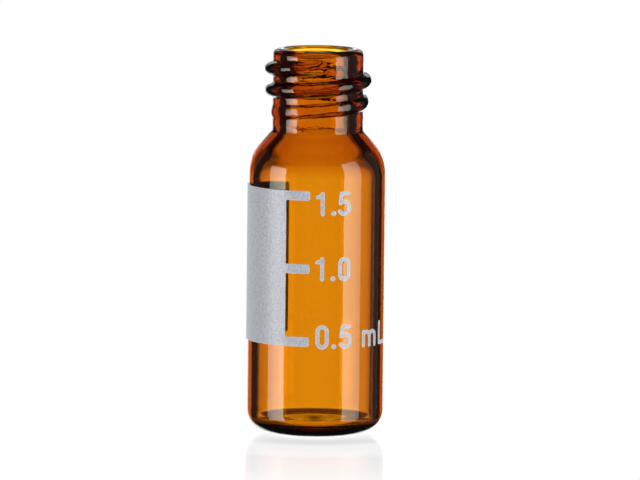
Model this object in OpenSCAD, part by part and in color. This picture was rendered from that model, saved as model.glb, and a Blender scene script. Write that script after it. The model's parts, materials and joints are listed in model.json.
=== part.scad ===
// Screw-neck sample vial of amber glass with a fired white print.
// It stands on its base, with +Z up and the origin at the middle of the base.
// The print's write-on field faces -X and its scale is read from -Y.

/* [Body] */
// Outside diameter of the body
body_d = 11.6; // [10.8:0.1:15]
// Height from the base to the rim
vial_h = 32.4; // [30:0.1:45]
// Thickness of the glass in the wall
wall_t = 0.9; // [0.7:0.05:1.2]
// Outside radius where the wall turns into the base
heel_r = 1.9; // [1.4:0.1:2.5]
// Height of the floor's edge inside above the ring the vial stands on
base_t = 1; // [0.8:0.1:2]
// Rise of the floor from its edge to its middle
floor_rise = 0.2; // [0.05:0.05:0.4]
// Inside radius where the wall turns into the floor
corner_r = 0.6; // [0.3:0.1:1]
// Width of the flat ring the vial stands on
foot_w = 0.7; // [0.4:0.1:1.5]
// Height of the hollow under the base
hollow_h = 0.3; // [0.1:0.05:0.6]
// Diameter of the sealing mark in the middle of the floor
seal_d = 3; // [1.5:0.1:4.5]
// Height of the sealing mark
seal_h = 0.1; // [0.05:0.05:0.4]

/* [Shoulder] */
// Angle between the shoulder's slope and the upright
shoulder_angle = 41; // [32:1:55]
// Outside radius where the wall turns into the slope
shoulder_r = 3.6; // [2.4:0.1:4.2]
// Outside radius where the slope turns into the neck
neck_fillet_r = 0.4; // [0.3:0.1:1]

/* [Neck] */
// Outside diameter of the neck between the turns of the thread
neck_d = 7.7; // [7.2:0.1:8.8]
// Diameter of the mouth; the shoulder is as thick as the neck round it
mouth_d = 5.3; // [4.8:0.1:6.2]
// Height of the neck from the top of the slope to the rim
neck_h = 6.9; // [6.4:0.1:9]

/* [Thread] */
// Height of the thread's crest above the neck
thread_h = 0.7; // [0.4:0.05:0.9]
// Width of the thread at its root
thread_w = 1.3; // [0.9:0.05:1.6]
// Distance from one turn to the next, 14 turns to the inch
thread_pitch = 1.814; // [1.6:0.001:2.2]
// Number of turns from start to end
thread_turns = 2.6; // [1.5:0.1:3]
// Depth of the thread's start below the rim
thread_drop = 1.2; // [0.9:0.1:2]
// Angle of the thread's start about the axis, from +X
thread_start = -75; // [-180:5:180]
// Angle over which the thread rises to its full height
thread_rise = 60; // [30:5:120]
// Angle over which the thread fades to its end
thread_fade = 600; // [60:10:700]

/* [Print] */
// Thickness of the fired print
print_t = 0.05; // [0.03:0.01:0.1]
// Width of the write-on field, measured round the wall
field_w = 12.9; // [8:0.1:16]
// Height of the write-on field
field_h = 13.1; // [8:0.1:16]
// Distance from the top of the field to the top of the straight wall
field_drop = 0.95; // [0.5:0.05:3]
// Number of scale marks, from the bottom of the field to its top
mark_count = 3; // [2:1:6]
// Length of a scale mark, measured round the wall
mark_l = 2.1; // [1:0.1:4]
// Height of a scale mark
mark_h = 0.8; // [0.4:0.1:1.2]

/* [Hidden] */
$fn = 96;

amber = "#c8780f";
enamel = "#c6c7cd";

body_r = body_d / 2;
neck_r = neck_d / 2;
mouth_r = mouth_d / 2;
neck_t = neck_r - mouth_r;
seal_r = seal_d / 2;
hollow_r = body_r - heel_r - foot_w;
floor_r = body_r - wall_t - corner_r;

// The slope starts where the shoulder's arc has turned by the slope's angle
slope_r = body_r - shoulder_r * (1 - cos(shoulder_angle));
slope_z = vial_h - neck_h - (slope_r - neck_r) / tan(shoulder_angle);
wall_top_z = slope_z - shoulder_r * sin(shoulder_angle);

// The top of the rim is a little crowned between its two rounded edges
rim_outer_r = 0.45 * neck_t;
rim_inner_r = 0.13 * neck_t;
crown_angle = 12;
crown_w = neck_t - (rim_outer_r + rim_inner_r) * (1 - sin(crown_angle));
crown_r = crown_w / (2 * sin(crown_angle));
crown_middle_r = neck_r - rim_outer_r * (1 - sin(crown_angle)) - crown_w / 2;
crown_edge_z = vial_h - crown_r * (1 - cos(crown_angle));
crown_steps = 6;

arc_steps = 10;
base_steps = 6;
floor_steps = 14;

// The bead of the thread is rooted inside the wall of the neck, and its two
// ends run out just under the surface of the neck
bead_steps = 8;
ring_angle = 10;
root_depth = 0.2;
end_depth = 0.1;
root_r = neck_r - root_depth;
thread_angle = 360 * thread_turns;
ring_count = ceil(thread_angle / ring_angle);

field_angle = field_w / body_r * 180 / PI;
mark_angle = mark_l / body_r * 180 / PI;
field_z = wall_top_z - field_drop - field_h;
mark_step = (field_h - mark_h) / (mark_count - 1);
field_middle = 180;

// How far the spaces between the marks are cut past the print
cut_depth = 0.5;
cut_angle = 5;

function arc(centre, r, from, to) =
    [for (i = [0 : arc_steps])
        let (a = from + (to - from) * i / arc_steps)
        centre + r * [cos(a), sin(a)]];

function reversed(list) = [for (i = [len(list) - 1 : -1 : 0]) list[i]];

// Line from the wall over the shoulder to the neck, [radius, height], at a depth
// inside the outer face of the wall and another one inside that of the slope
function shoulder_line(wall_depth, slope_depth, top_r) =
    let (
        bend_r = shoulder_r - wall_depth,
        bend_middle_r = body_r - shoulder_r,
        reach = slope_r * cos(shoulder_angle) + slope_z * sin(shoulder_angle) - slope_depth - bend_r,
        centre = [bend_middle_r, (reach - bend_middle_r * cos(shoulder_angle)) / sin(shoulder_angle)],
        fillet_r = neck_fillet_r + slope_depth,
        slope_end_r = centre[0] + bend_r * cos(shoulder_angle),
        slope_end_z = centre[1] + bend_r * sin(shoulder_angle),
        corner_z = slope_end_z + (slope_end_r - top_r) / tan(shoulder_angle),
        fillet_z = corner_z + fillet_r * tan(shoulder_angle / 2)
    )
    concat(
        arc(centre, bend_r, 0, shoulder_angle),
        arc([top_r + fillet_r, fillet_z], fillet_r, 180 + shoulder_angle, 180));

// Underside of the base, hollow inside the ring it stands on
function base_line() =
    [for (i = [0 : base_steps])
        let (share = i / base_steps)
        [hollow_r * share, hollow_h * (1 - share * share)]];

// Domed floor inside, from its edge to its middle, with the sealing mark on top
function floor_line() =
    [for (i = [floor_steps - 1 : -1 : 0])
        let (
            share = i / floor_steps,
            r = floor_r * share,
            mark = r < seal_r ? seal_h * (1 + cos(180 * r / seal_r)) / 2 : 0
        )
        [r, base_t + floor_rise * (1 - share * share) + mark]];

// Line over the rim, from the neck's outside to the mouth
function rim_line() =
    let (
        outer = [neck_r - rim_outer_r, crown_edge_z - rim_outer_r * cos(crown_angle)],
        inner = [mouth_r + rim_inner_r, crown_edge_z - rim_inner_r * cos(crown_angle)],
        crown = [for (i = [1 : crown_steps - 1])
            let (a = 90 - crown_angle + 2 * crown_angle * i / crown_steps)
            [crown_middle_r + crown_r * cos(a), vial_h - crown_r * (1 - sin(a))]]
    )
    concat(
        arc(outer, rim_outer_r, 0, 90 - crown_angle),
        crown,
        arc(inner, rim_inner_r, 90 + crown_angle, 180));

// Section of the glass: under the base, up the outside, over the rim, down the inside
function glass_section() =
    concat(
        base_line(),
        arc([body_r - heel_r, heel_r], heel_r, -90, 0),
        shoulder_line(0, 0, neck_r),
        rim_line(),
        reversed(shoulder_line(wall_t, neck_t, mouth_r)),
        arc([floor_r, base_t + corner_r], corner_r, 0, -90),
        floor_line());

// Share of the full height that the thread has at an angle from its start
function thread_share(angle) =
    let (
        rise = min(1, angle / thread_rise),
        fade = max(0, 1 - (thread_angle - angle) / thread_fade)
    )
    min(sin(90 * rise), cos(90 * fade));

// Half-round section of the bead at an angle from its start, upper edge first
function bead_ring(angle) =
    let (
        share = thread_share(angle),
        crest = neck_r + thread_h * share - end_depth * (1 - share),
        turn = thread_start - angle,
        z = vial_h - thread_drop - thread_pitch * angle / 360
    )
    [for (i = [0 : bead_steps])
        let (
            side = 180 * i / bead_steps,
            r = root_r + (crest - root_r) * sin(side)
        )
        [r * cos(turn), r * sin(turn), z + thread_w / 2 * cos(side)]];

module thread() {
    n = bead_steps + 1;
    points = [for (i = [0 : ring_count]) each bead_ring(thread_angle * i / ring_count)];
    sides = [for (i = [0 : ring_count - 1], j = [0 : n - 1])
        let (
            a = i * n + j,
            b = i * n + (j + 1) % n
        )
        each [[a, b, b + n], [a, b + n, a + n]]];
    start_cap = [for (j = [n - 1 : -1 : 0]) j];
    end_cap = [for (j = [0 : n - 1]) ring_count * n + j];
    polyhedron(points, concat(sides, [start_cap, end_cap]), convexity = 6);
}

// One piece of glass: tube drawn in to a shoulder and a threaded neck, base sealed
module glass_vial() {
    color(amber) {
        rotate_extrude()
            polygon(glass_section());
        thread();
    }
}

// Part of a ring about the axis, with its section given by its low corner and its size
module ring_part(from, angle, corner, size) {
    rotate([0, 0, from])
        rotate_extrude(angle = angle)
            translate(corner)
                square(size);
}

// Write-on field with the scale marks that run on from its front edge
module printed_scale() {
    field_from = field_middle - field_angle / 2;
    color(enamel)
        difference() {
            ring_part(field_from, field_angle + mark_angle, [body_r, field_z], [print_t, field_h]);
            for (i = [0 : mark_count - 2])
                ring_part(
                    field_from + field_angle,
                    mark_angle + cut_angle,
                    [body_r - cut_depth, field_z + i * mark_step + mark_h],
                    [print_t + 2 * cut_depth, mark_step - mark_h]);
        }
}

glass_vial();
printed_scale();
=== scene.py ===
import json
import math

import bmesh
import bpy
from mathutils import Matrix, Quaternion, Vector, noise


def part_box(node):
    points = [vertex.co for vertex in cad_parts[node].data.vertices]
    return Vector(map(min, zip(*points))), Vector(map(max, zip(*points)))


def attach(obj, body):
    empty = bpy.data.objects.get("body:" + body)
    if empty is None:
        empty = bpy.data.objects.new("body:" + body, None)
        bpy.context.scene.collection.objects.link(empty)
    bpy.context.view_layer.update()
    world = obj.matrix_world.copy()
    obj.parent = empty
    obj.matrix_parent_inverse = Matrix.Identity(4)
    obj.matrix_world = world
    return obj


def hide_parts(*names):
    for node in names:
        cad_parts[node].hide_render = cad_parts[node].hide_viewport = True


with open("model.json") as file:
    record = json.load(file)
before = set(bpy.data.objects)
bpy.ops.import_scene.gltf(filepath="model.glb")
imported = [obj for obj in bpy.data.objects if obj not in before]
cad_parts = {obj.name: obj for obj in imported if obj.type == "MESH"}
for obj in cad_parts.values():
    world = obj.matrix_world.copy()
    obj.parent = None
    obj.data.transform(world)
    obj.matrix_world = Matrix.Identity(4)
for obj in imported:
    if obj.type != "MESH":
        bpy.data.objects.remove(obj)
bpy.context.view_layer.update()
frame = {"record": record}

# The camera stands about 0.73 m from the vial and a little above it, behind a long lens,
# as in the photograph, which leans by half a degree.
MM = 0.001
picture_width = 640
picture_scale = 11.87 / MM
sensor_width = 36
camera_distance = 730 * MM
camera_rise = math.radians(6.63)
camera_roll = math.radians(0.6)
aim = Vector((0.3, 0, 16.2)) * MM
scene = bpy.context.scene
scene.view_settings.view_transform = "Standard"

to_camera = Vector((0, -math.cos(camera_rise), math.sin(camera_rise)))
camera_data = bpy.data.cameras.new("camera")
camera_data.sensor_width = sensor_width
camera_data.lens = sensor_width * picture_scale * camera_distance / picture_width
camera = bpy.data.objects.new("camera", camera_data)
camera.location = aim + to_camera * camera_distance
camera_turn = to_camera.to_track_quat("Z", "Y") @ Quaternion((0, 0, 1), camera_roll)
camera.rotation_euler = camera_turn.to_euler()
scene.collection.objects.link(camera)
scene.camera = camera
bpy.context.view_layer.update()

# The floor is a white sweep lit from all round, faintly glossy, so that the foot of the
# vial is mirrored in it and the mirror image dies away within a few centimetres.
floor_size = 3.0
floor_drop = 0.08 * MM
floor_roughness = 0.02
white = (1, 1, 1, 1)
# the mirror's share at distances in mm from the axis
mirror_shares = ((7, 0.24), (9.5, 0.1), (14, 0.1), (16.5, 0.17), (20, 0.15), (34, 0.02), (44, 0.0))


def plug(tree, socket, value):
    """Links a socket to another one, or sets it to a value."""
    if isinstance(value, bpy.types.NodeSocket):
        tree.links.new(value, socket)
    else:
        socket.default_value = value


def add(tree, kind, sockets=None, **settings):
    """Adds a node with its settings, and then its sockets by name."""
    made = tree.nodes.new(kind)
    for name, value in settings.items():
        setattr(made, name, value)
    for name, value in (sockets or {}).items():
        plug(tree, made.inputs[name], value)
    return made


def calc(tree, operation, *values):
    """Adds a Math node and returns its result."""
    made = add(tree, "ShaderNodeMath", operation=operation)
    for socket, value in zip(made.inputs, values):
        plug(tree, socket, value)
    return made.outputs[0]


def new_material(name):
    """Makes a material with no nodes, and returns it with its tree."""
    material = bpy.data.materials.new(name)
    material.use_nodes = True
    tree = material.node_tree
    tree.nodes.clear()
    return material, tree


def distance_from_axis(tree):
    """The distance of a point on the ground from the vial's axis."""
    place = add(tree, "ShaderNodeTexCoord").outputs["Object"]
    return add(tree, "ShaderNodeVectorMath", {"Vector": place}, operation="LENGTH").outputs["Value"]


def blend(tree, share, first, second):
    """Makes a mix of two shaders the surface of a material."""
    mixed = add(tree, "ShaderNodeMixShader", {"Fac": share})
    tree.links.new(first.outputs[0], mixed.inputs[1])
    tree.links.new(second.outputs[0], mixed.inputs[2])
    add(tree, "ShaderNodeOutputMaterial", {"Surface": mixed.outputs[0]})


def plane(name, corners, material):
    """Makes a flat four-cornered stage object."""
    mesh = bpy.data.meshes.new(name)
    mesh.from_pydata(corners, [], [(0, 1, 2, 3)])
    mesh.materials.append(material)
    across = mesh.uv_layers.new(name="across")
    for loop, corner in zip(across.data, ((0, 0), (1, 0), (1, 1), (0, 1))):
        loop.uv = corner
    made = bpy.data.objects.new(name, mesh)
    scene.collection.objects.link(made)
    return made


def level_square(name, half, z, material):
    """Makes a level square stage object round the vial's axis."""
    corners = ((-half, -half, z), (half, -half, z), (half, half, z), (-half, half, z))
    return plane(name, corners, material)


floor_material, tree = new_material("white_sweep")
mirror_reach = mirror_shares[-1][0]
reach_share = calc(tree, "DIVIDE", distance_from_axis(tree), mirror_reach * MM)
ramp = add(tree, "ShaderNodeValToRGB", {"Fac": reach_share})
ramp.color_ramp.interpolation = "EASE"
stops = ramp.color_ramp.elements
while len(stops) < len(mirror_shares):
    stops.new(1.0)
for stop, (r, share) in zip(stops, mirror_shares):
    stop.position = r / mirror_reach
    stop.color = (share, share, share, 1)
bright = add(tree, "ShaderNodeEmission", {"Color": white, "Strength": 1.0})
mirror = add(tree, "ShaderNodeBsdfGlossy", {"Color": white, "Roughness": floor_roughness})
blend(tree, ramp.outputs["Color"], bright, mirror)
floor = level_square("floor", floor_size / 2, -floor_drop, floor_material)
floor.visible_glossy = False
floor.visible_transmission = False

# The vial stands in its own shadow, a dark ring on the floor that gets a dim orange tone
# from the light through the glass. It is seen only through the glass, low in the base.
shadow_start = (3.3 * MM, 4.0 * MM)
shadow_end = (15 * MM, 9 * MM)
shadow_tone_start = (4.4 * MM, 5.6 * MM)
shadow_tone = (1.0, 0.6, 0.25, 1)
shadow_strength = 0.25


def fading(tree, value, start, end, low):
    """A share that goes smoothly from a low value to one."""
    return add(tree, "ShaderNodeMapRange", {
        "Value": value, "From Min": start, "From Max": end, "To Min": low, "To Max": 1.0,
    }, interpolation_type="SMOOTHSTEP").outputs["Result"]


shadow_material, tree = new_material("own_shadow")
from_axis = distance_from_axis(tree)
begun = fading(tree, from_axis, *shadow_start, 0.0)
not_ended = fading(tree, from_axis, *shadow_end, 0.0)
toned = calc(tree, "MULTIPLY", fading(tree, from_axis, *shadow_tone_start, 0.0), shadow_strength)
dark = add(tree, "ShaderNodeEmission", {"Color": shadow_tone, "Strength": toned})
clear = add(tree, "ShaderNodeBsdfTransparent")
blend(tree, calc(tree, "MULTIPLY", begun, not_ended), clear, dark)
own_shadow = level_square("own_shadow", shadow_end[0], -floor_drop / 2, shadow_material)
own_shadow.visible_camera = False
own_shadow.visible_diffuse = False
own_shadow.visible_glossy = False

# The room is white where it is seen or lights a matt face, and dark where clear glass
# bends or mirrors it, so that the vial is drawn by the cards of the studio alone.
ambient = 0.48
gloom = 0.03
world = bpy.data.worlds.new("room")
world.use_nodes = True
tree = world.node_tree
tree.nodes.clear()
rays = add(tree, "ShaderNodeLightPath").outputs
seen = calc(tree, "MULTIPLY_ADD", rays["Is Singular Ray"], gloom - 1.0, 1.0)
lit = calc(tree, "MULTIPLY_ADD", rays["Is Diffuse Ray"], ambient - 1.0, seen)
room = add(tree, "ShaderNodeBackground", {"Color": white, "Strength": lit})
add(tree, "ShaderNodeOutputWorld", {"Surface": room.outputs[0]})
scene.world = world
scene.cycles.max_bounces = 32
scene.cycles.transmission_bounces = 24
scene.cycles.glossy_bounces = 16
scene.cycles.blur_glossy = 0.0

# A bright card stands upright behind the vial and is seen through its glass, fading towards
# the card's ends. Like all the cards it goes with the camera, so that every view of the vial
# is lit like the photograph.
card_middle = 16 * MM
back_distance = 250 * MM
back_angles = (-29.5, 22.3)
back_heights = (-240 * MM, 120 * MM)
back_strength = 1.8
back_low_fade = (-240 * MM, -180 * MM)
back_high_fade = (84 * MM, 44 * MM)
back_dim = 0.2
back_side_fade = (0.0, 0.15)
back_side_dim = 0.6
mouth_glow = 1.7
mouth_glow_sides = (42 * MM, 26 * MM)
mouth_glow_heights = (-100 * MM, -70 * MM)
mouth_glow_dim = 0.1
second_wall_bend = 3


def glow(name, strengths):
    """Makes a material that gives off light, even or graded across its card."""
    material, tree = new_material(name)
    across = add(tree, "ShaderNodeUVMap", uv_map="across").outputs[0]
    across = add(tree, "ShaderNodeSeparateXYZ", {"Vector": across}).outputs["X"]
    graded = add(tree, "ShaderNodeMapRange", {
        "Value": across, "To Min": strengths[0], "To Max": strengths[1],
    }).outputs["Result"]
    light = add(tree, "ShaderNodeEmission", {"Color": white, "Strength": graded})
    add(tree, "ShaderNodeOutputMaterial", {"Surface": light.outputs[0]})
    return material


def card(name, ends, heights, strengths):
    """Makes an upright card between two points on the ground, carried by the camera."""
    corners = []
    for end, height in ((0, 0), (1, 0), (1, 1), (0, 1)):
        corners.append((ends[end][0], ends[end][1], card_middle + heights[height]))
    made = plane(name, corners, glow(name + "_light", strengths))
    made.visible_camera = False
    made.visible_diffuse = False
    made.parent = camera
    made.matrix_parent_inverse = camera.matrix_world.inverted()
    return made


def back_ends(angles, nearer=1.0):
    """The ends of a card behind the vial, at angles from straight behind."""
    y = back_distance * nearer
    return [(back_distance * math.tan(math.radians(angle)) * nearer, y) for angle in angles]


def light_of(made):
    """The node tree of a card's light, and the socket of its strength."""
    tree = made.data.materials[0].node_tree
    return tree, tree.nodes["Emission"].inputs["Strength"]


def scale_light(made, share):
    """Multiplies the strength of a card's light."""
    tree, strength = light_of(made)
    plug(tree, strength, calc(tree, "MULTIPLY", strength.links[0].from_socket, share))


def place_on_card(tree):
    """The way sideways from the vial's axis, and the height from the cards' middle."""
    place = add(tree, "ShaderNodeTexCoord").outputs["Object"]
    place = add(tree, "ShaderNodeSeparateXYZ", {"Vector": place}).outputs
    return place["X"], calc(tree, "SUBTRACT", place["Z"], card_middle)


def soft_card(name, high_fade, high_dim):
    """Makes a card behind the vial that fades out at its ends."""
    made = card(name, back_ends(back_angles), back_heights, (back_strength, back_strength))
    tree = light_of(made)[0]
    height = place_on_card(tree)[1]
    across = tree.nodes["UV Map"].outputs[0]
    across = add(tree, "ShaderNodeSeparateXYZ", {"Vector": across}).outputs["X"]
    from_side = calc(tree, "MINIMUM", across, calc(tree, "SUBTRACT", 1.0, across))
    scale_light(made, fading(tree, height, *back_low_fade, back_dim))
    scale_light(made, fading(tree, height, *high_fade, high_dim))
    scale_light(made, fading(tree, from_side, *back_side_fade, back_side_dim))
    return made


back = soft_card("back_card", back_high_fade, back_dim)
back.visible_glossy = False
# it is brighter for rays through one wall only, in over the rim and out at the mouth's back
tree = light_of(back)[0]
sideways, height = place_on_card(tree)
bends = add(tree, "ShaderNodeLightPath").outputs["Transmission Depth"]
one_wall = calc(tree, "LESS_THAN", bends, second_wall_bend)
in_middle = fading(tree, calc(tree, "ABSOLUTE", sideways), *mouth_glow_sides, 0.0)
glow_share = fading(tree, height, *mouth_glow_heights, mouth_glow_dim)
more = calc(tree, "MULTIPLY_ADD", glow_share, mouth_glow, -1.0)
in_mouth = calc(tree, "MULTIPLY", one_wall, in_middle)
scale_light(back, calc(tree, "MULTIPLY_ADD", in_mouth, more, 1.0))

# The outside of the glass mirrors another card in the same place, which fades out lower
# down. Rays through the glass don't see it.
mirrored_high_fade = (28 * MM, 8 * MM)
mirrored_dim = 0.12


def mirrored_in_glass(made):
    """Lets only clear glass mirror a card: for other faces it is as white as the room."""
    made.visible_transmission = False
    tree, strength = light_of(made)
    off_white = calc(tree, "SUBTRACT", strength.links[0].from_socket, 1.0)
    on_glass = add(tree, "ShaderNodeLightPath").outputs["Is Singular Ray"]
    plug(tree, strength, calc(tree, "MULTIPLY_ADD", on_glass, off_white, 1.0))


mirrored_in_glass(soft_card("mirrored_card", mirrored_high_fade, mirrored_dim))

# Two cards stand high up behind the vial, one to each side, and put a grey sheen on the
# upper sides of the thread. They are only mirrored.
sheen_nearer = 0.96
sheen_angles = {"sheen_left": (-22, -8), "sheen_right": (8, 22)}
sheen_heights = (66 * MM, 118 * MM)
sheen_strengths = (1.0, 1.0)
for name, angles in sheen_angles.items():
    mirrored_in_glass(card(name, back_ends(angles, sheen_nearer), sheen_heights, sheen_strengths))

# A dim card stands on each side of the vial, next to the softbox and further back, and
# lifts the dark edges of the glass a little. They are only mirrored.
box_distance = 400 * MM
side_heights = (-220 * MM, 250 * MM)
sides = {
    "side_left": {"angles": (-128, -86), "strengths": (0.08, 0.08)},
    "side_right": {"angles": (79, 128), "strengths": (0.17, 0.17)},
}


def side_ends(angles):
    """The ends of a card at the softboxes' distance, at angles from the camera."""
    ends = []
    for angle in angles:
        angle = math.radians(angle)
        ends.append((box_distance * math.sin(angle), -box_distance * math.cos(angle)))
    return ends


for name, side in sides.items():
    mirrored_in_glass(card(name, side_ends(side["angles"]), side_heights, side["strengths"]))

# A narrow strip of light stands behind the vial, at the height that the level top of the rim
# mirrors, and draws the bright ends of the rim.
rim_nearer = 0.98
rim_heights = (35 * MM, 44 * MM)
rim_strengths = (1.6, 1.6)
rim = card("rim_card", back_ends(back_angles, rim_nearer), rim_heights, rim_strengths)
rim.visible_transmission = False

# A tall softbox stands on each side of the vial, in front. They are mirrored in the glass as
# two upright highlights, each with its own tint there, and are warm white on other faces.
boxes = {
    "softbox_left": {
        "angles": (-86, -54),
        "heights": (-220 * MM, 135 * MM),
        "strengths": (3.0, 6.2),
        "tint": (0.93, 1.1, 1.0, 1),
    },
    "softbox_right": {
        "angles": (46, 79),
        "heights": (-220 * MM, 250 * MM),
        "strengths": (4.4, 2.7),
        "tint": (0.91, 1.1, 0.91, 1),
    },
}
box_tint = (1.06, 1.02, 0.96, 1)


def mixed_colour(tree, share, first, second):
    """Mixes two colours; the node has sockets of one name for each kind of data."""
    made = add(tree, "ShaderNodeMix", data_type="RGBA")
    for number, value in ((0, share), (6, first), (7, second)):
        plug(tree, made.inputs[number], value)
    return made.outputs[2]


for name, box in boxes.items():
    softbox = card(name, side_ends(box["angles"]), box["heights"], box["strengths"])
    tree = light_of(softbox)[0]
    on_glass = add(tree, "ShaderNodeLightPath").outputs["Is Singular Ray"]
    tint = mixed_colour(tree, on_glass, box_tint, box["tint"])
    plug(tree, tree.nodes["Emission"].inputs["Color"], tint)

# A large card in front, beside the camera, lights the matt print. The glass neither mirrors
# it nor lets it through.
fill_angles = (-5, 50)
fill_heights = (-150 * MM, 150 * MM)
fill_strengths = (3.0, 3.0)
fill = card("fill_card", side_ends(fill_angles), fill_heights, fill_strengths)
fill.visible_diffuse = True
fill.visible_glossy = False
fill.visible_transmission = False

# The vial is one piece of amber glass, made from drawn tube: the base is sealed in a flame
# and hollow underneath, and the shoulder and the screw neck are rolled to shape.
glass_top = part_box("glass_vial")[1].z
mounts = {mount["name"]: mount for mount in frame["record"]["mounts"]}
body_r = mounts["body"]["dims"]["r_mm"] * MM
mouth_r = mounts["mouth"]["dims"]["r_mm"] * MM
wall = 0.9 * MM
corner_r = 0.6 * MM
heel_r = 1.9 * MM
floor_z = 1.0 * MM
foot_width = 0.7 * MM
hollow = 0.3 * MM
floor_rise = 0.2 * MM
seal_r = 1.5 * MM
seal_height = 0.1 * MM
shoulder_angle = math.radians(41)
shoulder_r = 3.6 * MM
fillet_r = 0.4 * MM
neck_r = 3.85 * MM
neck_height = 6.9 * MM
neck_wall = neck_r - mouth_r
rim_outer_r = 0.45 * neck_wall
rim_inner_r = 0.13 * neck_wall
crown_angle = 12
wave_bottom = glass_top - 3.8 * MM
# numbers of steps on the curved lines of the section
base_steps = 12
heel_steps = 18
outer_shoulder_steps = 16
rim_outer_steps = 9
crown_steps = 10
rim_inner_steps = 8
inner_shoulder_steps = 14
corner_steps = 12
floor_steps = 39
# longest steps on its straight lines
plain_step = 3 * MM
thread_step = 0.075 * MM
wave_step = 0.065 * MM
bore_step = 0.12 * MM


def arc(centre, r, start, end, steps):
    """Points on an arc in the vial's section, as (radius, height)."""
    points = []
    for step in range(steps + 1):
        angle = math.radians(start + (end - start) * step / steps)
        points.append((centre[0] + r * math.cos(angle), centre[1] + r * math.sin(angle)))
    return points


def shoulder_line(wall_depth, slope_depth, top_r, steps):
    """The line from the wall to the neck at depths inside the glass."""
    turned = math.degrees(shoulder_angle)
    lean = (math.cos(shoulder_angle), math.sin(shoulder_angle))
    slope_r = body_r - shoulder_r * (1 - lean[0])
    slope_z = glass_top - neck_height - (slope_r - neck_r) / math.tan(shoulder_angle)
    bend_r = shoulder_r - wall_depth
    centre_r = body_r - shoulder_r
    reach = lean[0] * slope_r + lean[1] * slope_z - slope_depth - bend_r
    bend = arc((centre_r, (reach - lean[0] * centre_r) / lean[1]), bend_r, 0, turned, steps)
    corner_z = bend[-1][1] + (bend[-1][0] - top_r) / math.tan(shoulder_angle)
    round_r = fillet_r + slope_depth
    round_z = corner_z + round_r * math.tan(shoulder_angle / 2)
    return bend + arc((top_r + round_r, round_z), round_r, 180 + turned, 180, steps)


def section_run(points, longest):
    """Puts more points on a line's straight steps, the first and last close to the ends."""
    near = 0.05 * MM
    straight = 0.5 * MM
    nothing = 1e-9
    run = [points[0]]
    for a, b in zip(points, points[1:]):
        length = math.dist(a, b)
        if length < nothing:
            continue
        if length > straight:
            count = max(2, math.ceil((length - 2 * near) / longest))
            for step in range(count + 1):
                share = (near + (length - 2 * near) * step / count) / length
                run.append((a[0] + (b[0] - a[0]) * share, a[1] + (b[1] - a[1]) * share))
        run.append(b)
    return run


hollow_r = body_r - heel_r - foot_width
base_line = []
for step in range(base_steps + 1):
    share = step / base_steps
    base_line.append((hollow_r * share, hollow * (1 - share * share)))
heel = arc((body_r - heel_r, heel_r), heel_r, -90, 0, heel_steps)
outer_shoulder = shoulder_line(0, 0, neck_r, outer_shoulder_steps)

crown_lean = (math.cos(math.radians(crown_angle)), math.sin(math.radians(crown_angle)))
crown_width = neck_wall - (rim_outer_r + rim_inner_r) * (1 - crown_lean[1])
crown_r = crown_width / (2 * crown_lean[1])
crown_middle = (neck_r - rim_outer_r * (1 - crown_lean[1]) - crown_width / 2, glass_top - crown_r)
edge_z = glass_top - crown_r * (1 - crown_lean[0])
outer_edge = (neck_r - rim_outer_r, edge_z - rim_outer_r * crown_lean[0])
inner_edge = (mouth_r + rim_inner_r, edge_z - rim_inner_r * crown_lean[0])
crown_ends = (90 - crown_angle, 90 + crown_angle)
lip = arc(outer_edge, rim_outer_r, 0, crown_ends[0], rim_outer_steps)
lip += arc(crown_middle, crown_r, *crown_ends, crown_steps)[1:-1]
lip += arc(inner_edge, rim_inner_r, crown_ends[1], 180, rim_inner_steps)

inner_shoulder = shoulder_line(wall, neck_wall, mouth_r, inner_shoulder_steps)
floor_r = body_r - wall - corner_r
corner = arc((floor_r, floor_z + corner_r), corner_r, 0, -90, corner_steps)
floor_line = []
for step in range(floor_steps + 1):
    r = floor_r * (1 - step / floor_steps)
    seal = 0.0
    if r < seal_r:
        seal = seal_height * (1 + math.cos(math.pi * r / seal_r)) / 2
    floor_line.append((r, floor_z + floor_rise * (1 - (r / floor_r) ** 2) + seal))

wave_low = (mouth_r, wave_bottom)
bore = section_run([lip[-1], wave_low], wave_step)
bore += section_run([wave_low, inner_shoulder[-1]], bore_step)[1:]
neck = section_run([outer_shoulder[-1], lip[0]], thread_step)
line = []
marks = {"threaded": [], "bored": []}


def extend_line(points, mark):
    """Goes on with the section, and marks the points that carry the thread or the waves."""
    line.extend(points)
    for name, values in marks.items():
        values.extend([1.0 if name == mark else 0.0] * len(points))


extend_line(section_run(base_line + heel + outer_shoulder, plain_step), None)
extend_line(neck[1:-1], "threaded")
extend_line(lip, None)
extend_line(bore[1:-1], "bored")
extend_line(section_run(inner_shoulder[::-1] + corner + floor_line, plain_step), None)

mesh = bpy.data.meshes.new("glass_vial_finish")
links = [(i, i + 1) for i in range(len(line) - 1)]
mesh.from_pydata([(r, 0, z) for r, z in line], links, [])
for name, values in marks.items():
    mesh.attributes.new(name, "FLOAT", "POINT").data.foreach_set("value", values)
vial = bpy.data.objects.new("glass_vial_finish", mesh)
scene.collection.objects.link(vial)

# amber soda glass, clear all through and darkened by its depth, with the faint lines of the
# draw down the tube and the marks of the rolls round the neck
glass_ior = 1.51
amber = (0.8819, 0.7097, 0.0, 1)
amber_density = 3600.0
draw_scale = (900, 900, 25)
draw_depth = 0.01 * MM
draw_strength = 0.1
roll_scale = (900, 900, 3000)
roll_depth = 0.05 * MM
roll_strength = 0.6
roll_low = (glass_top - 7.4 * MM, glass_top - 6.4 * MM)
roll_high = (glass_top - 0.7 * MM, glass_top - 1.1 * MM)
amber_glass, tree = new_material("amber_glass")
place = add(tree, "ShaderNodeTexCoord").outputs["Object"]


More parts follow.
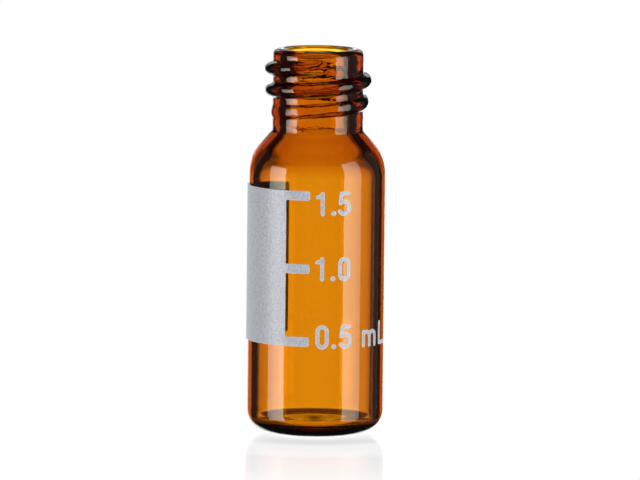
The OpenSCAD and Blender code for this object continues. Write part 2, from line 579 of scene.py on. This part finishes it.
def fine_lines(tree, place, scale):
    """Noise that is drawn out by unlike scales along the axes."""
    drawn = add(tree, "ShaderNodeMapping", {"Vector": place, "Scale": scale}).outputs[0]
    return add(tree, "ShaderNodeTexNoise", {"Vector": drawn, "Scale": 1.0, "Detail": 2.0}).outputs[0]


draw_lines = add(tree, "ShaderNodeBump", {
    "Strength": draw_strength,
    "Distance": draw_depth,
    "Height": fine_lines(tree, place, draw_scale),
}).outputs[0]
height = add(tree, "ShaderNodeSeparateXYZ", {"Vector": place}).outputs["Z"]
on_neck = fading(tree, height, *roll_low, 0.0)
off_lip = fading(tree, height, *roll_high, 0.0)
roll_marks = add(tree, "ShaderNodeBump", {
    "Strength": calc(tree, "MULTIPLY", calc(tree, "MINIMUM", on_neck, off_lip), roll_strength),
    "Distance": roll_depth,
    "Height": fine_lines(tree, place, roll_scale),
    "Normal": draw_lines,
}).outputs[0]
glass = add(tree, "ShaderNodeBsdfPrincipled", {
    "Base Color": white,
    "Metallic": 0.0,
    "Roughness": 0.0,
    "IOR": glass_ior,
    "Transmission Weight": 1.0,
    "Normal": roll_marks,
})
depth = add(tree, "ShaderNodeVolumeAbsorption", {"Color": amber, "Density": amber_density})
add(tree, "ShaderNodeOutputMaterial", {"Surface": glass.outputs[0], "Volume": depth.outputs[0]})

turning = {
    "Segments": 256,
    "Neck Radius": neck_r,
    "Root Depth": 0.2 * MM,
    "End Depth": 0.1 * MM,
    "Root Fillet": 0.12 * MM,
    "Thread Height": 0.7 * MM,
    "Thread Width": 1.3 * MM,
    "Pitch": 1.814 * MM,
    "Turns": 2.6,
    "Start Height": glass_top - 1.2 * MM,
    "Start Angle": math.radians(-75),
    "Rise": 60 / 360,
    "Fade": 600 / 360,
    "Ripple": 0.045 * MM,
    "Ripple Length": 0.8 * MM,
    "Ripple Spread": 0.8,
    "Seed": 3.0,
    "Wave": 0.056 * MM,
    "Wave Width": 1.0 * MM,
    "Wave Length": 0.435 * MM,
    "Wave Bottom": wave_bottom,
    "Wave Full": glass_top - 2.6 * MM,
    "Wave Fade": glass_top - 1.0 * MM,
    "Wave Top": glass_top - 0.6 * MM,
    "Merge Distance": 0.0001 * MM,
    "Material": amber_glass,
}


def new_group(name, sockets):
    """Makes a geometry node group with named inputs, and returns it with its input node."""
    kinds = {"Segments": "Int", "Material": "Material"}
    tree = bpy.data.node_groups.new(name, "GeometryNodeTree")
    tree.interface.new_socket("Geometry", in_out="OUTPUT", socket_type="NodeSocketGeometry")
    tree.interface.new_socket("Geometry", in_out="INPUT", socket_type="NodeSocketGeometry")
    for socket in sockets:
        kind = "NodeSocket" + kinds.get(socket, "Float")
        tree.interface.new_socket(socket, in_out="INPUT", socket_type=kind)
    return tree, add(tree, "NodeGroupInput").outputs


def finish_group(tree, geometry, material):
    """Ends a geometry node group in plain mesh with a material."""
    real = add(tree, "GeometryNodeRealizeInstances", {"Geometry": geometry})
    coated = add(tree, "GeometryNodeSetMaterial", {
        "Geometry": real.outputs[0], "Material": material,
    })
    add(tree, "NodeGroupOutput", {"Geometry": coated.outputs[0]})


def use_group(made, tree, values):
    """Puts a geometry node group on an object, with its inputs set by identifier."""
    modifier = made.modifiers.new(tree.name, "NODES")
    modifier.node_group = tree
    for item in tree.interface.items_tree:
        if item.in_out == "INPUT" and item.name in values:
            modifier[item.identifier] = values[item.name]


def settle(made):
    """Turns an object with modifiers into a plain mesh with its faces outward."""
    shown = bpy.context.evaluated_depsgraph_get()
    shown.update()
    mesh = bpy.data.meshes.new_from_object(made.evaluated_get(shown))
    made.modifiers.clear()
    made.data = mesh
    shaped = bmesh.new()
    shaped.from_mesh(mesh)
    bmesh.ops.recalc_face_normals(shaped, faces=shaped.faces)
    for face in shaped.faces:
        face.smooth = True
    shaped.to_mesh(mesh)
    shaped.free()


def stored(tree, geometry, name, value, kind):
    """Stores a named attribute in a geometry node group."""
    return add(tree, "GeometryNodeStoreNamedAttribute", {
        "Geometry": geometry, "Name": name, "Value": value,
    }, data_type=kind, domain="POINT").outputs[0]


def named(tree, name, kind):
    """Reads a named attribute in a geometry node group."""
    read = add(tree, "GeometryNodeInputNamedAttribute", {"Name": name}, data_type=kind)
    return read.outputs["Attribute"]


tree, given = new_group("turned_and_threaded", turning)
circle = add(tree, "GeometryNodeCurvePrimitiveCircle", {
    "Resolution": given["Segments"], "Radius": 1.0,
}).outputs[0]
index = add(tree, "GeometryNodeInputIndex").outputs[0]
full_turn = calc(tree, "DIVIDE", calc(tree, "MULTIPLY", index, math.tau), given["Segments"])
path = stored(tree, circle, "angle", full_turn, "FLOAT")
outline = add(tree, "GeometryNodeMeshToCurve", {"Mesh": given["Geometry"]}).outputs[0]
position = add(tree, "GeometryNodeInputPosition").outputs[0]
outline = stored(tree, outline, "section", position, "FLOAT_VECTOR")
swept = add(tree, "GeometryNodeCurveToMesh", {"Curve": path, "Profile Curve": outline})
angle = named(tree, "angle", "FLOAT")
cosine = calc(tree, "COSINE", angle)
sine = calc(tree, "SINE", angle)
section = named(tree, "section", "FLOAT_VECTOR")
section = add(tree, "ShaderNodeSeparateXYZ", {"Vector": section}).outputs
section_r = section["X"]
section_z = section["Z"]
# the bead's turn at this angle that lies nearest to this height, counted from its start
from_start = calc(tree, "SUBTRACT", given["Start Angle"], angle)
part_turn = calc(tree, "WRAP", calc(tree, "DIVIDE", from_start, math.tau), 1, 0)
below_start = calc(tree, "SUBTRACT", given["Start Height"], section_z)
below_start = calc(tree, "DIVIDE", below_start, given["Pitch"])
whole_turns = calc(tree, "ROUND", calc(tree, "SUBTRACT", below_start, part_turn))
turn = calc(tree, "ADD", whole_turns, part_turn)
# its share of the full height there, rising fast and fading slowly
rise = calc(tree, "MINIMUM", calc(tree, "DIVIDE", turn, given["Rise"]), 1)
to_end = calc(tree, "DIVIDE", calc(tree, "SUBTRACT", given["Turns"], turn), given["Fade"])
fade = calc(tree, "MAXIMUM", calc(tree, "SUBTRACT", 1, to_end), 0)
risen = calc(tree, "SINE", calc(tree, "MULTIPLY", rise, math.pi / 2))
faded = calc(tree, "COSINE", calc(tree, "MULTIPLY", fade, math.pi / 2))
bead_share = calc(tree, "MAXIMUM", calc(tree, "MINIMUM", risen, faded), 0)
# the half-round bead, rooted inside the wall of the neck
root = calc(tree, "SUBTRACT", given["Neck Radius"], given["Root Depth"])
low_end = calc(tree, "SUBTRACT", given["Root Depth"], given["End Depth"])
bead_height = calc(tree, "ADD", given["Thread Height"], given["End Depth"])
bead_rise = calc(tree, "MULTIPLY_ADD", bead_height, bead_share, low_end)
off_crest = calc(tree, "MULTIPLY", calc(tree, "SUBTRACT", turn, below_start), given["Pitch"])
across = calc(tree, "DIVIDE", calc(tree, "MULTIPLY", off_crest, 2), given["Thread Width"])
inside = calc(tree, "SUBTRACT", 1, calc(tree, "POWER", across, 2))
round_share = calc(tree, "SQRT", calc(tree, "MAXIMUM", inside, 0))
bead_r = calc(tree, "MULTIPLY_ADD", bead_rise, round_share, root)
with_bead = calc(tree, "SMOOTH_MAX", section_r, bead_r, given["Root Fillet"])
bead_step = calc(tree, "SUBTRACT", with_bead, section_r)
bead_step = calc(tree, "MULTIPLY", bead_step, named(tree, "threaded", "FLOAT"))
# the faint ripple that the rolls leave all down the bore
around = add(tree, "ShaderNodeCombineXYZ", {
    "X": calc(tree, "MULTIPLY", cosine, given["Ripple Spread"]),
    "Y": calc(tree, "MULTIPLY", sine, given["Ripple Spread"]),
    "Z": calc(tree, "DIVIDE", section_z, given["Ripple Length"]),
}).outputs[0]
ripples = add(tree, "ShaderNodeTexNoise", {
    "Vector": around, "W": given["Seed"], "Scale": 1.0, "Detail": 1.0, "Roughness": 0.4,
}, noise_dimensions="4D").outputs[0]
below_lip = add(tree, "ShaderNodeMapRange", {
    "Value": section_z,
    "From Min": calc(tree, "SUBTRACT", given["Start Height"], given["Ripple Length"]),
    "From Max": given["Start Height"],
    "To Min": 1.0,
    "To Max": 0.0,
}).outputs["Result"]
ripple = calc(tree, "MULTIPLY", calc(tree, "SUBTRACT", ripples, 0.5), given["Ripple"])
ripple = calc(tree, "MULTIPLY", ripple, below_lip)
# the sharper waves high up in the bore
around = add(tree, "ShaderNodeCombineXYZ", {
    "X": calc(tree, "DIVIDE", calc(tree, "MULTIPLY", section_r, cosine), given["Wave Width"]),
    "Y": calc(tree, "DIVIDE", calc(tree, "MULTIPLY", section_r, sine), given["Wave Width"]),
    "Z": calc(tree, "DIVIDE", section_z, given["Wave Length"]),
}).outputs[0]
waves = add(tree, "ShaderNodeTexNoise", {"Vector": around, "Scale": 1.0, "Detail": 1.0}).outputs[0]
high_up = fading(tree, section_z, given["Wave Bottom"], given["Wave Full"], 0.0)
off_lip = fading(tree, section_z, given["Wave Top"], given["Wave Fade"], 0.0)
wave = calc(tree, "MULTIPLY", calc(tree, "SUBTRACT", 0.5, waves), given["Wave"])
wave = calc(tree, "MULTIPLY", wave, calc(tree, "MINIMUM", high_up, off_lip))
bore_relief = calc(tree, "ADD", ripple, wave)
bore_relief = calc(tree, "MULTIPLY", bore_relief, named(tree, "bored", "FLOAT"))
final_r = calc(tree, "ADD", calc(tree, "ADD", section_r, bead_step), bore_relief)
moved = add(tree, "GeometryNodeSetPosition", {
    "Geometry": swept.outputs[0],
    "Position": add(tree, "ShaderNodeCombineXYZ", {
        "X": calc(tree, "MULTIPLY", final_r, cosine),
        "Y": calc(tree, "MULTIPLY", final_r, sine),
        "Z": section_z,
    }).outputs[0],
})
shaped = add(tree, "GeometryNodeMergeByDistance", {
    "Geometry": moved.outputs[0], "Distance": given["Merge Distance"],
})
for name in ("angle", "section", "threaded", "bored"):
    shaped = add(tree, "GeometryNodeRemoveAttribute", {"Geometry": shaped.outputs[0], "Name": name})
finish_group(tree, shaped.outputs[0], given["Material"])
use_group(vial, tree, turning)
settle(vial)
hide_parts("glass_vial")
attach(vial, "root")

# The write-on field and its three scale marks are one skin of white ceramic enamel, screen
# printed on the wall and fired, with the soft edges and the grain of thick ink.
print_low, print_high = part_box("printed_scale")
field_width = 12.9 * MM
field_middle = 180
reading_side = 270
field_step = 0.11 * MM
field_margin = 0.3 * MM
field_ragged = (0.35 * MM, 0.02 * MM)
mark_count = 3
mark_length = 2.1 * MM
mark_height = 0.8 * MM
mark_overlap = 1 * MM
mark_step = (print_high.z - print_low.z - mark_height) / (mark_count - 1)
edge_round = 0.18 * MM
ink = 0.05 * MM
sunk = 0.01 * MM
front_angle = field_middle + math.degrees(field_width / body_r) / 2 - reading_side
front_s = body_r * math.radians(front_angle)


def ink_sheet(name, inside, low, high, step):
    """Makes a flat sheet, in (way round the wall, 0, height), where a distance is negative."""
    columns = math.ceil((high[0] - low[0]) / step)
    rows = math.ceil((high[1] - low[1]) / step)
    values = []
    for i in range(columns + 1):
        values.append([inside(low[0] + i * step, low[1] + j * step) for j in range(rows + 1)])
    sheet = bmesh.new()
    depth = sheet.verts.layers.float.new("from_edge")
    points = {}

    def point(i, j, m, n):
        """The sheet's point at a corner of the grid, or on its edge between two corners."""
        key = (i, j, m, n)
        if key not in points:
            share = 0.0
            if (i, j) != (m, n):
                share = values[i][j] / (values[i][j] - values[m][n])
            s = low[0] + (i + (m - i) * share) * step
            z = low[1] + (j + (n - j) * share) * step
            points[key] = sheet.verts.new((s, 0, z))
            points[key][depth] = max(0.0, -values[i][j]) if share == 0.0 else 0.0
        return points[key]

    for i in range(columns):
        for j in range(rows):
            ring = ((i, j), (i + 1, j), (i + 1, j + 1), (i, j + 1))
            corners = []
            for a, b in zip(ring, ring[1:] + ring[:1]):
                a_in = values[a[0]][a[1]] < 0
                b_in = values[b[0]][b[1]] < 0
                if a_in:
                    corners.append(point(*a, *a))
                if a_in != b_in:
                    corners.append(point(*min(a, b), *max(a, b)))
            if len(corners) > 2:
                sheet.faces.new(corners)
    mesh = bpy.data.meshes.new(name)
    sheet.to_mesh(mesh)
    sheet.free()
    made = bpy.data.objects.new(name, mesh)
    scene.collection.objects.link(made)
    return made


def box_distance_to(s, z, low, high, r):
    """Distance from a box with rounded corners, negative inside."""
    ds = max(low[0] + r - s, s - high[0] + r)
    dz = max(low[1] + r - z, z - high[1] + r)
    return math.hypot(max(ds, 0), max(dz, 0)) + min(max(ds, dz), 0) - r


def ragged(s, z, size, depth):
    """The unevenness of an ink edge."""
    seed = 4.7
    return depth * noise.noise(Vector((s / size, z / size, seed)))


def field_and_marks(s, z):
    """Distance from the write-on field and the marks, negative inside."""
    field = ((front_s - field_width, print_low.z), (front_s, print_high.z))
    nearest = box_distance_to(s, z, *field, edge_round)
    for number in range(mark_count):
        low = print_low.z + number * mark_step
        mark = ((front_s - mark_overlap, low), (front_s + mark_length, low + mark_height))
        nearest = min(nearest, box_distance_to(s, z, *mark, edge_round))
    return nearest + ragged(s, z, *field_ragged)


# white enamel, matt and a little bluish, with a fine speckle and a lighter border
grain_scale = 6000.0
grain_range = (0.36, 0.64)
grain_strength = 0.4
grain_depth = 0.02 * MM
enamel_dark = (0.30, 0.32, 0.37, 1)
enamel_light = (0.50, 0.52, 0.57, 1)
enamel_border = (0.66, 0.69, 0.75, 1)
border_width = 0.1 * MM
border_share = 0.6
enamel_roughness = 0.32
enamel_gloss = 0.8
white_enamel, tree = new_material("white_enamel")
place = add(tree, "ShaderNodeTexCoord").outputs["Object"]
grain = add(tree, "ShaderNodeTexNoise", {
    "Vector": place, "Scale": grain_scale, "Detail": 3.0, "Roughness": 0.7,
}).outputs[0]
tone = add(tree, "ShaderNodeMapRange", {
    "Value": grain, "From Min": grain_range[0], "From Max": grain_range[1],
}).outputs["Result"]
colour = mixed_colour(tree, tone, enamel_dark, enamel_light)
from_edge = add(tree, "ShaderNodeAttribute", attribute_name="from_edge").outputs["Fac"]
border = add(tree, "ShaderNodeMapRange", {
    "Value": from_edge, "From Max": border_width, "To Min": border_share, "To Max": 0.0,
}).outputs["Result"]
colour = mixed_colour(tree, border, colour, enamel_border)
relief = add(tree, "ShaderNodeBump", {
    "Strength": grain_strength, "Distance": grain_depth, "Height": grain,
}).outputs[0]
paint = add(tree, "ShaderNodeBsdfPrincipled", {
    "Base Color": colour,
    "Roughness": enamel_roughness,
    "Specular IOR Level": enamel_gloss,
    "Normal": relief,
})
add(tree, "ShaderNodeOutputMaterial", {"Surface": paint.outputs[0]})

wrapped_on_the_wall, given = new_group("wrapped_on_the_wall", ("Wall Radius", "Material"))
tree = wrapped_on_the_wall
position = add(tree, "GeometryNodeInputPosition").outputs[0]
flat = add(tree, "ShaderNodeSeparateXYZ", {"Vector": position}).outputs
angle = calc(tree, "DIVIDE", flat["X"], given["Wall Radius"])
to_front = calc(tree, "MULTIPLY", given["Wall Radius"], -1)
wrapped = add(tree, "GeometryNodeSetPosition", {
    "Geometry": given["Geometry"],
    "Position": add(tree, "ShaderNodeCombineXYZ", {
        "X": calc(tree, "MULTIPLY", given["Wall Radius"], calc(tree, "SINE", angle)),
        "Y": calc(tree, "MULTIPLY", calc(tree, "COSINE", angle), to_front),
        "Z": flat["Z"],
    }).outputs[0],
})
finish_group(tree, wrapped.outputs[0], given["Material"])


def fire(made, thickness):
    """Wraps a flat ink sheet on the wall and gives it its thickness."""
    values = {"Wall Radius": body_r + thickness, "Material": white_enamel}
    use_group(made, wrapped_on_the_wall, values)
    skin = made.modifiers.new("ink", "SOLIDIFY")
    skin.thickness = thickness + sunk
    skin.offset = -1
    settle(made)
    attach(made, "root")


low = (front_s - field_width - field_margin, print_low.z - field_margin)
high = (front_s + mark_length + field_margin, print_high.z + field_margin)
printed = ink_sheet("printed_scale_finish", field_and_marks, low, high, field_step)
fire(printed, ink)
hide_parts("printed_scale")

# The numbers and the unit of the scale are in the same enamel, drawn with a rounded pen and
# printed thinner than the field.
pen = 0.33 * MM
flag_pen = 0.26 * MM
dot_pen = 0.40 * MM
thin_ink = 0.02 * MM
sign_step = 0.05 * MM
sign_margin = 0.4 * MM
sign_ragged = (0.25 * MM, 0.025 * MM)


def curve(centre, across, up, start, end, steps=20):
    """Points on an arc that may be wider than it is high."""
    points = []
    for step in range(steps + 1):
        angle = math.radians(start + (end - start) * step / steps)
        points.append((centre[0] + across * math.cos(angle), centre[1] + up * math.sin(angle)))
    return points


# strokes of each sign, in mm from its lower left corner
one = (
    (pen, [(0.59, 0.19), (0.59, 1.90)]),
    (flag_pen, [(0.12, 1.60), (0.55, 1.86)]),
    (flag_pen, [(0.12, 1.60), (0.55, 1.60)]),
)
dot = ((dot_pen, [(0.23, 0.23), (0.25, 0.25)]),)
zero_line = curve((0.58, 1.50), 0.39, 0.40, 0, 180) + curve((0.58, 0.59), 0.39, 0.40, 180, 360)
zero = ((pen, zero_line + zero_line[:1]),)
five = (
    (pen, [(0.95, 1.90), (0.34, 1.90), (0.26, 1.13)]),
    (pen, curve((0.58, 0.72), 0.48, 0.52, 135, -146)),
)
small_m = (
    (pen, [(0.19, 0.19), (0.19, 1.34)]),
    (pen, curve((0.565, 0.98), 0.375, 0.36, 180, 0) + [(0.94, 0.19)]),
    (pen, curve((1.315, 0.98), 0.375, 0.36, 180, 0) + [(1.69, 0.19)]),
)
big_l = ((pen, [(0.19, 1.90), (0.19, 0.19), (1.46, 0.19)]),)
# each sign's way round the wall from the front, and its height, in mm
signs = (
    (one, -0.09, 18.85), (dot, 1.20, 18.85), (five, 1.78, 18.85),
    (one, -0.09, 13.36), (dot, 1.20, 13.36), (zero, 1.86, 13.36),
    (zero, -0.02, 7.63), (dot, 1.33, 7.63), (five, 1.98, 7.63),
    (small_m, 4.26, 7.63), (big_l, 6.57, 7.68),
)


def line_distance(s, z, a, b):
    """Distance of a point from a straight line between two points."""
    along = (b[0] - a[0], b[1] - a[1])
    share = ((s - a[0]) * along[0] + (z - a[1]) * along[1]) / (along[0] ** 2 + along[1] ** 2)
    share = min(1, max(0, share))
    return math.hypot(s - a[0] - along[0] * share, z - a[1] - along[1] * share)


for number, (strokes, left, bottom) in enumerate(signs):
    pieces = []
    for width, points in strokes:
        placed = [((left + s) * MM, (bottom + z) * MM) for s, z in points]
        pieces += [(width / 2, a, b) for a, b in zip(placed, placed[1:])]

    def sign_distance(s, z):
        """Distance from the strokes of this sign, negative inside."""
        nearest = min(line_distance(s, z, a, b) - r for r, a, b in pieces)
        return nearest + ragged(s, z, *sign_ragged)

    stroke_ends = [end for piece in pieces for end in piece[1:]]
    ways = [s for s, z in stroke_ends]
    heights = [z for s, z in stroke_ends]
    low = (min(ways) - sign_margin, min(heights) - sign_margin)
    high = (max(ways) + sign_margin, max(heights) + sign_margin)
    sign = ink_sheet("scale_sign_%02d" % number, sign_distance, low, high, sign_step)
    fire(sign, thin_ink)
